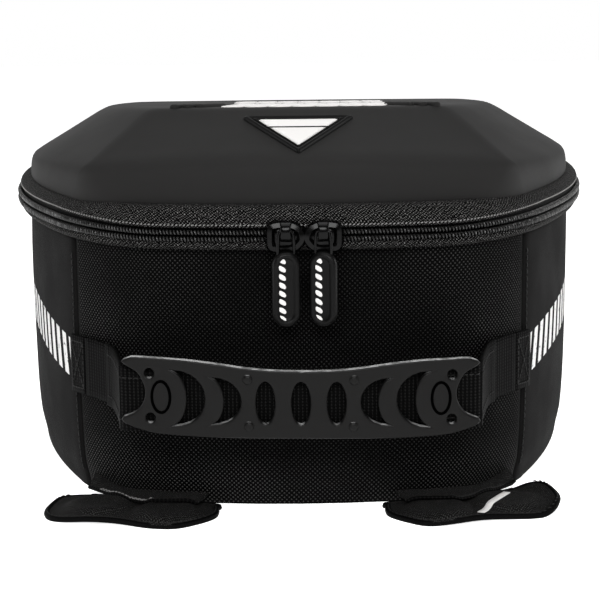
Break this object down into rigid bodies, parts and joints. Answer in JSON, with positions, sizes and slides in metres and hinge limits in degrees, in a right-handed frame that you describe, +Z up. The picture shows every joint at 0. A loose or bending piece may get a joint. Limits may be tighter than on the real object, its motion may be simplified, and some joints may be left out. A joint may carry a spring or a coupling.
{
  "type": "motorcycle tank bag",
  "caption": "Magnetic motorcycle tank bag: moulded lid on a zip, soft case with a rubber carry grip, and hinged magnet flaps that hold it to a steel tank.",
  "frame": {"origin": "on the ground under the middle of the bag", "axes": "+Z up, front with the zip sliders and the carry grip faces -Y, +X to the right as seen from the front"},
  "size_m": [0.294, 0.399, 0.1697],
  "materials": {
    "ballistic_nylon": "coarse dotted weave, matte",
    "side_cloth": "smooth coated cloth, satin",
    "foam_board": "plain foam",
    "lining": "plain lining cloth",
    "base_rubber": "fine anti-slip rubber",
    "band_weave": "coarse woven webbing, matte",
    "zip_tape": "fine woven tape",
    "zip_coil": "nylon coil, satin",
    "eva_shell": "moulded EVA, matte, fine grain",
    "badge_rubber": "moulded rubber, satin",
    "badge_face": "matte print",
    "print_white": "matte print",
    "slider_metal": "black enamel, glossy",
    "pull_rubber": "moulded rubber, satin",
    "grip_rubber": "moulded rubber, satin",
    "webbing": "woven webbing, matte",
    "flap_cloth": "coated cloth, matte",
    "magnet": "nickel plated"
  },
  "bodies": {
    "case": {"front_panel": "ballistic_nylon", "side_panel_left": "side_cloth", "side_panel_right": "side_cloth", "rear_panel": "ballistic_nylon", "wall_stiffener": "foam_board", "body_liner": "lining", "floor_board": "foam_board", "base_pad": "base_rubber", "lower_trim": "band_weave", "lower_coil": "zip_coil", "lower_tape": "zip_tape", "lower_hinge_leaf": "band_weave", "handle_patch_left": "webbing", "handle_patch_right": "webbing"},
    "lid": {"lid_shell": "eva_shell", "lid_liner": "lining", "upper_trim": "band_weave", "upper_coil": "zip_coil", "upper_tape": "zip_tape", "upper_hinge_leaf": "band_weave", "badge_frame": "badge_rubber", "badge_plate": "badge_face", "print_panel": "print_white"},
    "handle": {"handle_webbing": "webbing", "handle_grip": "grip_rubber"},
    "slider_left": {"slider_left": "slider_metal"},
    "pull_left": {"pull_link_left": "slider_metal", "pull_left": "pull_rubber"},
    "slider_right": {"slider_right": "slider_metal"},
    "pull_right": {"pull_link_right": "slider_metal", "pull_right": "pull_rubber"},
    "flap_front_left": {"flap_cover_front_left": "flap_cloth", "flap_base_front_left": "flap_cloth", "magnet_front_left_a": "magnet", "magnet_front_left_b": "magnet"},
    "flap_front_right": {"flap_cover_front_right": "flap_cloth", "flap_base_front_right": "flap_cloth", "magnet_front_right_a": "magnet", "magnet_front_right_b": "magnet"},
    "flap_rear_right": {"flap_cover_rear_right": "flap_cloth", "flap_base_rear_right": "flap_cloth", "magnet_rear_right_a": "magnet", "magnet_rear_right_b": "magnet"},
    "flap_rear_left": {"flap_cover_rear_left": "flap_cloth", "flap_base_rear_left": "flap_cloth", "magnet_rear_left_a": "magnet", "magnet_rear_left_b": "magnet"}
  },
  "joints": [
    {"name": "lid_hinge", "type": "hinge", "parent": "case", "child": "lid", "pos_m": [0, 0.17506, 0.1221], "axis": [-1, 0, 0], "range_deg": [0, 105]},
    {"name": "slide_left", "type": "hinge", "parent": "case", "child": "slider_left", "pos_m": [0, 0.14494, 0.1221], "axis": [0, 0, -1], "range_deg": [0, 9]},
    {"name": "pull_swing_left", "type": "hinge", "parent": "slider_left", "child": "pull_left", "pos_m": [-0.00566, -0.17951, 0.1211], "axis": [-0.9998, 0.0174, 0], "range_deg": [0, 150]},
    {"name": "slide_right", "type": "hinge", "parent": "case", "child": "slider_right", "pos_m": [0, 0.14494, 0.1221], "axis": [0, 0, 1], "range_deg": [0, 8.5]},
    {"name": "pull_swing_right", "type": "hinge", "parent": "slider_right", "child": "pull_right", "pos_m": [0.00991, -0.1794, 0.1211], "axis": [-0.9995, -0.0305, 0], "range_deg": [0, 150]},
    {"name": "handle_hinge", "type": "hinge", "parent": "case", "child": "handle", "pos_m": [0, -0.14654, 0.0585], "axis": [-1, 0, 0], "range_deg": [0, 22], "deforming": ["handle_webbing"]},
    {"name": "flap_front_left_hinge", "type": "hinge", "parent": "case", "child": "flap_front_left", "pos_m": [-0.06552, -0.15774, 0.0006], "axis": [-0.9537, 0.3007, 0], "range_deg": [-60, 35]},
    {"name": "flap_front_right_hinge", "type": "hinge", "parent": "case", "child": "flap_front_right", "pos_m": [0.06552, -0.15774, 0.0006], "axis": [-0.9537, -0.3007, 0], "range_deg": [-60, 35]},
    {"name": "flap_rear_right_hinge", "type": "hinge", "parent": "case", "child": "flap_rear_right", "pos_m": [0.09511, 0.15357, 0.0006], "axis": [0.9537, -0.3007, 0], "range_deg": [-60, 35]},
    {"name": "flap_rear_left_hinge", "type": "hinge", "parent": "case", "child": "flap_rear_left", "pos_m": [-0.09511, 0.15357, 0.0006], "axis": [0.9537, 0.3007, 0], "range_deg": [-60, 35]}
  ]
}
